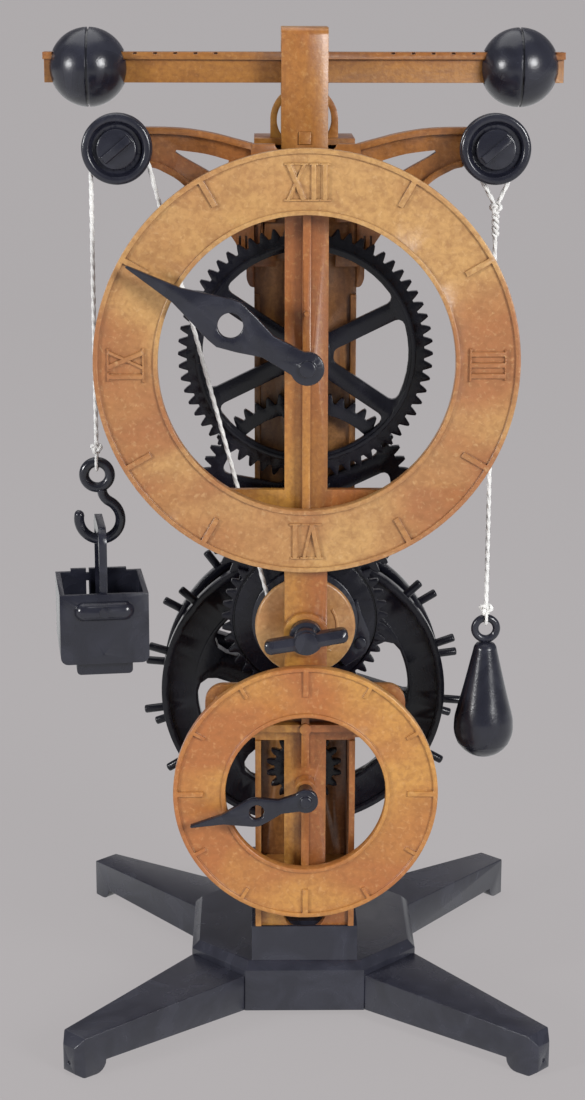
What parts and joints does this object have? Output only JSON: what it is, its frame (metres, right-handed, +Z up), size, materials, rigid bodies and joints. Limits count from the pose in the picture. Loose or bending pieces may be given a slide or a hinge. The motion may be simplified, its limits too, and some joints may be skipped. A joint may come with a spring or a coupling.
{
  "type": "verge clock model",
  "caption": "Weight-driven clock model: open wheels in a tall frame, a large and a small ring dial, a foliot bar with two balls, cords, a bucket weight and a hanging counterweight.",
  "frame": {"origin": "on the ground under the middle of the base", "axes": "+Z up, -Y towards the dials' side, +X to the right as seen from the front"},
  "size_m": [0.1686, 0.1552, 0.3239],
  "materials": {
    "grained_plastic": "satin brown plastic with a flowing wood-like grain",
    "slate_plastic": "satin dark slate plastic",
    "cord": "white twisted cord"
  },
  "bodies": {
    "stand": {"base_hub": "slate_plastic", "leg_front_left": "slate_plastic", "leg_front_right": "slate_plastic", "leg_rear_left": "slate_plastic", "leg_rear_right": "slate_plastic", "front_frame": "grained_plastic", "main_frame": "grained_plastic", "rear_frame": "grained_plastic", "top_plate": "grained_plastic", "arm_left": "grained_plastic", "arm_right": "grained_plastic", "foliot_bridge": "grained_plastic", "bridge_pegs": "grained_plastic", "staff_arch": "grained_plastic", "staff_bracket": "grained_plastic", "main_dial": "grained_plastic", "small_dial": "grained_plastic", "pulley_axle_left": "slate_plastic", "pulley_axle_right": "slate_plastic", "drive_cord": "cord"},
    "main_shaft": {"main_wheel": "slate_plastic", "main_arbor": "slate_plastic", "main_hand": "slate_plastic"},
    "inter_shaft": {"inter_wheel": "slate_plastic", "inter_pinion": "slate_plastic", "inter_arbor": "slate_plastic"},
    "great_shaft": {"great_wheel": "slate_plastic", "great_pinion": "slate_plastic", "great_arbor": "slate_plastic", "click_rivet": "slate_plastic"},
    "click_arm": {"click": "slate_plastic"},
    "winding_drum": {"drum_disc": "grained_plastic", "cord_drum": "slate_plastic", "ratchet_wheel": "slate_plastic", "winding_key": "slate_plastic", "cord_winding": "cord"},
    "escape_shaft": {"escape_wheel_front": "slate_plastic", "escape_wheel_rear": "slate_plastic", "escape_pins": "slate_plastic", "escape_arbor": "slate_plastic", "escape_pinion": "slate_plastic", "small_drive_gear": "slate_plastic"},
    "small_shaft": {"small_wheel": "slate_plastic", "small_arbor": "slate_plastic", "small_hand": "slate_plastic"},
    "foliot_verge": {"foliot_bar": "grained_plastic", "verge_staff": "slate_plastic", "pallets": "slate_plastic"},
    "left_ball": {"ball_left": "slate_plastic"},
    "right_ball": {"ball_right": "slate_plastic"},
    "left_pulley": {"pulley_left": "slate_plastic"},
    "right_pulley": {"pulley_right": "slate_plastic"},
    "weight_cord": {"drop_cord": "cord", "hook_knot": "cord"},
    "hook": {"weight_hook": "slate_plastic"},
    "bail": {"bucket_bail": "slate_plastic"},
    "weight_bucket": {"bucket": "slate_plastic"},
    "counter_hanger": {"counter_cord": "cord", "counterweight": "slate_plastic"}
  },
  "joints": [
    {"name": "escape_spin", "type": "hinge", "parent": "stand", "child": "escape_shaft", "pos_m": [0, 0, 0.10322], "axis": [0, 1, 0], "continuous": true},
    {"name": "great_spin", "type": "hinge", "parent": "stand", "child": "great_shaft", "pos_m": [0, 0, 0.13561], "axis": [0, 1, 0], "continuous": true},
    {"name": "inter_spin", "type": "hinge", "parent": "stand", "child": "inter_shaft", "pos_m": [0, 0, 0.17561], "axis": [0, 1, 0], "continuous": true},
    {"name": "main_spin", "type": "hinge", "parent": "stand", "child": "main_shaft", "pos_m": [0, 0, 0.22323], "axis": [0, 1, 0], "continuous": true},
    {"name": "small_spin", "type": "hinge", "parent": "stand", "child": "small_shaft", "pos_m": [0, 0, 0.0829], "axis": [0, 1, 0], "continuous": true},
    {"name": "drum_winding", "type": "hinge", "parent": "great_shaft", "child": "winding_drum", "pos_m": [0, 0, 0.13561], "axis": [0, -1, 0], "range_deg": [-660, 300]},
    {"name": "click_lift", "type": "hinge", "parent": "great_shaft", "child": "click_arm", "pos_m": [0.01822, 0, 0.12798], "axis": [0, 1, 0], "range_deg": [0, 5]},
    {"name": "foliot_swing", "type": "hinge", "parent": "stand", "child": "foliot_verge", "pos_m": [0, 0.015, 0.3], "axis": [0, 0, 1], "range_deg": [-26, 26]},
    {"name": "left_ball_slide", "type": "slide", "parent": "foliot_verge", "child": "left_ball", "axis": [1, 0, 0], "range_m": [-0.002, 0.04]},
    {"name": "right_ball_slide", "type": "slide", "parent": "foliot_verge", "child": "right_ball", "axis": [-1, 0, 0], "range_m": [-0.002, 0.04]},
    {"name": "left_pulley_spin", "type": "hinge", "parent": "stand", "child": "left_pulley", "pos_m": [-0.0587, 0, 0.28763], "axis": [0, 1, 0], "range_deg": [-900, 600]},
    {"name": "right_pulley_spin", "type": "hinge", "parent": "stand", "child": "right_pulley", "pos_m": [0.0587, 0, 0.28763], "axis": [0, 1, 0], "continuous": true},
    {"name": "weight_travel", "type": "slide", "parent": "stand", "child": "weight_cord", "axis": [0, 0, 1], "range_m": [-0.1024, 0.0468], "deforming": ["drop_cord"]},
    {"name": "hook_swing", "type": "hinge", "parent": "weight_cord", "child": "hook", "pos_m": [-0.0669, 0, 0.18849], "axis": [0, 1, 0], "range_deg": [-4, 4]},
    {"name": "bail_swing", "type": "hinge", "parent": "hook", "child": "bail", "pos_m": [-0.0663, 0, 0.16973], "axis": [0, 1, 0], "range_deg": [-4, 4]},
    {"name": "bucket_tilt", "type": "hinge", "parent": "bail", "child": "weight_bucket", "pos_m": [-0.0663, -0.0226, 0.14319], "axis": [-0.1323, 0.9912, 0], "range_deg": [-8, 8]},
    {"name": "counterweight_swing", "type": "hinge", "parent": "stand", "child": "counter_hanger", "pos_m": [0.0587, 0, 0.28763], "axis": [0, 1, 0], "range_deg": [-4, 4]}
  ],
  "couplings": [
    {"joint": "great_spin", "follows": "escape_spin", "ratio": -0.2439},
    {"joint": "inter_spin", "follows": "escape_spin", "ratio": 0.046019},
    {"joint": "main_spin", "follows": "escape_spin", "ratio": -0.0096492},
    {"joint": "small_spin", "follows": "escape_spin", "ratio": -0.77778},
    {"joint": "weight_travel", "follows": "drum_winding", "m_per_rad": 0.00885},
    {"joint": "left_pulley_spin", "follows": "drum_winding", "ratio": 1.0793}
  ]
}
